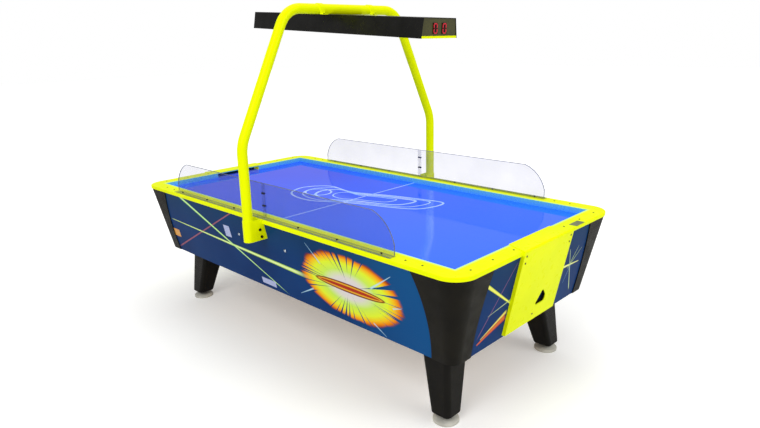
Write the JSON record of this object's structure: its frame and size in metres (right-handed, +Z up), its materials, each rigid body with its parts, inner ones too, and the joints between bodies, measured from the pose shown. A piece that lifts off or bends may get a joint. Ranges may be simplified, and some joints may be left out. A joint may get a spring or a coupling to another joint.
{
  "type": "air hockey table",
  "caption": "Full-size arcade air hockey table with blown playfield, goal chutes, clear side shields and a tilting score canopy on a tube arch.",
  "frame": {"origin": "on the floor under the middle of the table", "axes": "+X along the table towards the right-hand goal, +Y across the table, +Z up"},
  "size_m": [2.5506, 1.4794, 1.8374],
  "materials": {
    "fluorescent_rail": "moulded fluorescent yellow, satin gloss",
    "fluorescent_paint": "fluorescent yellow powder coat",
    "black_moulding": "moulded, fine leather grain",
    "black_leg": "moulded, fine grain",
    "art_laminate": "printed laminate over board",
    "cabinet_board": "sanded particle board",
    "playfield_laminate": "high gloss laminate",
    "bumper_aluminium": "anodised",
    "zinc_sheet": "galvanised sheet",
    "zinc_screw": "zinc plated",
    "motor_casting": "cast, painted",
    "impeller_plastic": "moulded",
    "leveller_grey": "moulded grey",
    "black_screw": "black oxide",
    "black_sheet": "black powder coat",
    "lens_acrylic": "opal acrylic",
    "display_acrylic": "smoked acrylic",
    "digit_led": "red segments",
    "lamp_tube": "phosphor coated tube",
    "controller_case": "moulded",
    "rocker_plastic": "moulded",
    "clear_polycarbonate": "clear sheet"
  },
  "bodies": {
    "table": {"arch_blocks": "zinc_sheet", "arch_bracket_far": "fluorescent_paint", "arch_bracket_near": "fluorescent_paint", "arch_tube": "fluorescent_paint", "blower_housing": "zinc_sheet", "blower_motor": "motor_casting", "bracket_screws": "black_screw", "button_screws": "black_screw", "cabinet_floor": "cabinet_board", "corner_shell_far_left": "black_moulding", "corner_shell_far_right": "black_moulding", "corner_shell_near_left": "black_moulding", "corner_shell_near_right": "black_moulding", "end_bumper_left": "bumper_aluminium", "end_bumper_right": "bumper_aluminium", "end_panel_left": "art_laminate", "end_panel_right": "art_laminate", "end_rail_left": "fluorescent_rail", "end_rail_right": "fluorescent_rail", "goal_chute_left": "zinc_sheet", "goal_chute_right": "zinc_sheet", "goal_cover_left": "fluorescent_rail", "goal_cover_right": "fluorescent_rail", "leg_blocks": "cabinet_board", "leg_bolts": "zinc_screw", "leg_far_left": "black_leg", "leg_far_right": "black_leg", "leg_near_left": "black_leg", "leg_near_right": "black_leg", "playfield": "playfield_laminate", "plenum_board": "cabinet_board", "plenum_ribs": "cabinet_board", "power_inlet": "controller_case", "rail_screws": "zinc_screw", "shield_far_left": "clear_polycarbonate", "shield_far_right": "clear_polycarbonate", "shield_near_left": "clear_polycarbonate", "shield_near_right": "clear_polycarbonate", "shield_splices": "clear_polycarbonate", "side_bumper_far": "bumper_aluminium", "side_bumper_near": "bumper_aluminium", "side_panel_far": "art_laminate", "side_panel_near": "art_laminate", "side_rail_far": "fluorescent_rail", "side_rail_near": "fluorescent_rail"},
    "leveller_near_left": {"leveller_near_left": "leveller_grey"},
    "leveller_far_left": {"leveller_far_left": "leveller_grey"},
    "leveller_near_right": {"leveller_near_right": "leveller_grey"},
    "leveller_far_right": {"leveller_far_right": "leveller_grey"},
    "canopy": {"canopy_housing": "black_sheet", "canopy_lens": "lens_acrylic", "display_panel_left": "display_acrylic", "display_panel_right": "display_acrylic", "score_digits": "digit_led", "canopy_lamps": "lamp_tube", "score_controller": "controller_case", "tube_saddles": "fluorescent_paint", "saddle_screws": "black_screw"},
    "blower_rotor": {"blower_impeller": "impeller_plastic"},
    "mains_switch": {"power_rocker": "rocker_plastic"}
  },
  "joints": [
    {"name": "leveller_near_left_screw", "type": "slide", "parent": "table", "child": "leveller_near_left", "axis": [0, 0, -1], "range_m": [0, 0.02]},
    {"name": "leveller_far_left_screw", "type": "slide", "parent": "table", "child": "leveller_far_left", "axis": [0, 0, -1], "range_m": [0, 0.02]},
    {"name": "leveller_near_right_screw", "type": "slide", "parent": "table", "child": "leveller_near_right", "axis": [0, 0, -1], "range_m": [0, 0.02]},
    {"name": "leveller_far_right_screw", "type": "slide", "parent": "table", "child": "leveller_far_right", "axis": [0, 0, -1], "range_m": [0, 0.02]},
    {"name": "canopy_tilt", "type": "hinge", "parent": "table", "child": "canopy", "pos_m": [0, 0, 1.809], "axis": [0, 1, 0], "range_deg": [-9.5, 2]},
    {"name": "blower_spin", "type": "hinge", "parent": "table", "child": "blower_rotor", "pos_m": [-0.27, 0, 0.6], "axis": [0, 0, 1], "continuous": true},
    {"name": "rocker_press", "type": "hinge", "parent": "table", "child": "mains_switch", "pos_m": [-1.1842, 0.313, 0.44071], "axis": [0, -1, 0], "range_deg": [0, 14]}
  ]
}
